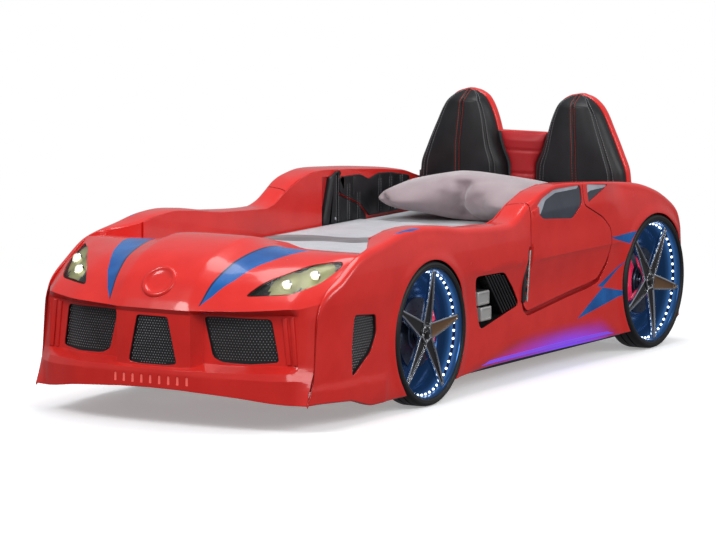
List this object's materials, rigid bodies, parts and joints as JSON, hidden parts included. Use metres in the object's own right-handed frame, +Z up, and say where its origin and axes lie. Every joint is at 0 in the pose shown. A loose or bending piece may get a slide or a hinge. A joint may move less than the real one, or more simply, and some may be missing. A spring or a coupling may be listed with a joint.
{
  "type": "children's car bed",
  "caption": "Sports-car-shaped bed for a child, with opening padded doors, lit wheels and headlights, slatted base, mattress and two-seat headboard.",
  "frame": {"origin": "floor level under the middle of the bed, at the centre of the bounding box's base", "axes": "+Y from the nose to the headboard, +Z up, +X to the right of someone who stands at the nose and faces the headboard, which is also the side nearest the camera in the picture"},
  "size_m": [1.184, 3.01, 0.966],
  "materials": {
    "body_red": "high-gloss red moulded plastic",
    "board_red": "red laminated board",
    "black_gloss": "black moulded plastic",
    "tyre": "black moulded plastic tyre",
    "rim": "black rim with polished edges",
    "disc": "metallised plastic disc with a red caliper",
    "silver": "metallised",
    "lens": "clear plastic",
    "window": "dark tinted plastic",
    "lamp": "warm white lamp",
    "strip": "light diffuser",
    "leather": "black leatherette with red stitching",
    "leather_red": "red leatherette",
    "mattress": "knitted mattress cover",
    "cover": "light grey cover",
    "pillow": "mauve-grey velvet",
    "wood": "pine",
    "board": "black laminated board",
    "steel": "zinc-plated steel"
  },
  "bodies": {
    "bed": {"bed_rails": "wood", "brake_discs": "disc", "centre_pad": "leather_red", "corner_vents": "black_gloss", "cover": "cover", "front_board": "board_red", "front_moulding": "body_red", "grille_centre": "black_gloss", "grille_left": "black_gloss", "grille_right": "black_gloss", "headboard_board": "board", "headboard_shell": "body_red", "headlight_lamps": "lamp", "headlight_lenses": "lens", "headlight_trays": "black_gloss", "hinge_leaves_fixed": "steel", "hinge_pins": "steel", "hinge_posts": "board", "legs": "wood", "mattress": "mattress", "pillow": "pillow", "power_box": "black_gloss", "quarter_windows": "window", "rear_pad_left": "leather", "rear_pad_right": "leather", "rear_panel": "black_gloss", "rim_front_left": "rim", "rim_front_right": "rim", "rim_rear_left": "rim", "rim_rear_right": "rim", "scoop_tray_left": "black_gloss", "scoop_tray_right": "black_gloss", "seat_back_left": "leather", "seat_back_right": "leather", "side_board_left": "board", "side_board_right": "board", "side_liner_left": "body_red", "side_liner_right": "body_red", "side_shell_left": "body_red", "side_shell_right": "body_red", "sill_lights": "strip", "slats": "wood", "twin_pipes_left": "silver", "twin_pipes_right": "silver", "tyre_front_left": "tyre", "tyre_front_right": "tyre", "tyre_rear_left": "tyre", "tyre_rear_right": "tyre", "wheel_bolts": "steel", "wheel_lights": "strip"},
    "door_left": {"door_skin_left": "body_red", "door_core_left": "board_red", "door_pad_left": "leather", "door_window_left": "window", "hinge_leaf_door_left": "steel"},
    "door_right": {"door_skin_right": "body_red", "door_core_right": "board_red", "door_pad_right": "leather", "door_window_right": "window", "hinge_leaf_door_right": "steel"}
  },
  "joints": [
    {"name": "door_right_hinge", "type": "hinge", "parent": "bed", "child": "door_right", "pos_m": [0.575, 0.19, 0.385], "axis": [0, -0.1219, -0.9925], "range_deg": [0, 75]},
    {"name": "door_left_hinge", "type": "hinge", "parent": "bed", "child": "door_left", "pos_m": [-0.575, 0.19, 0.385], "axis": [0, 0.1219, 0.9925], "range_deg": [0, 75]}
  ]
}
